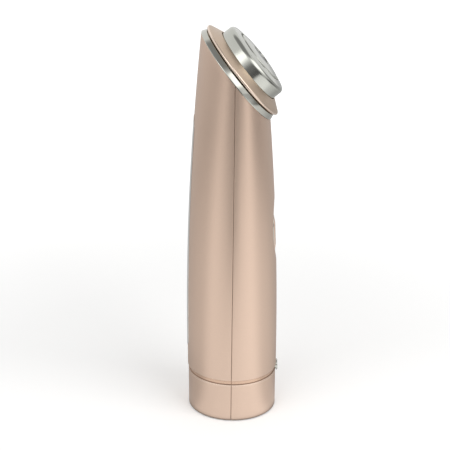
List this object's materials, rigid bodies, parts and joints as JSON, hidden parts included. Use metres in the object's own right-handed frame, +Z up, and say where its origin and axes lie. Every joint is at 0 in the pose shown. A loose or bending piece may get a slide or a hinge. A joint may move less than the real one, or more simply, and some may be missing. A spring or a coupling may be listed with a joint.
{
  "type": "rf facial device",
  "caption": "Slim upright skin care wand with a slanted round electrode head, a press-on cotton ring, a rear contact plate, a sprung push button and a flat base.",
  "frame": {"origin": "centre of the rubber foot's underside, where the wand stands on a table", "axes": "+Z up along the body, +X towards the button and the treatment face, the wand is symmetric about the XZ plane"},
  "size_m": [0.0465, 0.0526, 0.1944],
  "materials": {
    "shell": "satin metallic lacquer with a fine flake",
    "rubber": "matt",
    "contact_metal": "fine satin plating",
    "bright_trim": "bright plating",
    "electrode": "polished plating",
    "smoked_plastic": "smoked, light passes when the lamps are lit",
    "lens": "milky",
    "inner_plastic": "moulded",
    "circuit_board": "solder mask",
    "component": "moulded",
    "winding": "enamelled wire on a core",
    "cell": "shrink sleeve",
    "pin_metal": "plated",
    "screw_steel": "zinc plated"
  },
  "bodies": {
    "body": {"front_shell": "shell", "rear_shell": "shell", "bottom_cover": "shell", "rubber_foot": "rubber", "rear_contact_plate": "contact_metal", "plate_contact_pin": "pin_metal", "button_trim_ring": "bright_trim", "button_switch": "component", "switch_board": "circuit_board", "lamp_bezel": "bright_trim", "lamp_lens": "lens", "chassis": "inner_plastic", "battery_cell": "cell", "main_board": "circuit_board", "board_components": "component", "rf_transformer": "winding", "charge_board": "circuit_board", "charge_socket": "component", "head_bezel": "bright_trim", "head_seal": "rubber", "head_carrier": "inner_plastic", "outer_electrode": "electrode", "light_ring": "smoked_plastic", "inner_electrode": "electrode", "face_window": "smoked_plastic", "led_board": "inner_plastic", "led_lamps": "lens", "electrode_pins": "pin_metal", "shell_screws": "screw_steel", "head_screws": "screw_steel", "cover_screws": "screw_steel"},
    "push_button": {"button": "shell"},
    "snap_ring": {"cotton_ring": "shell"}
  },
  "joints": [
    {"name": "button_press", "type": "slide", "parent": "body", "child": "push_button", "axis": [-0.9987, 0, -0.0514], "range_m": [0, 0.0006], "stiffness_N_per_m": 900},
    {"name": "cotton_ring_lift", "type": "slide", "parent": "body", "child": "snap_ring", "axis": [0.7716, 0, 0.6361], "range_m": [0, 0.03]}
  ]
}
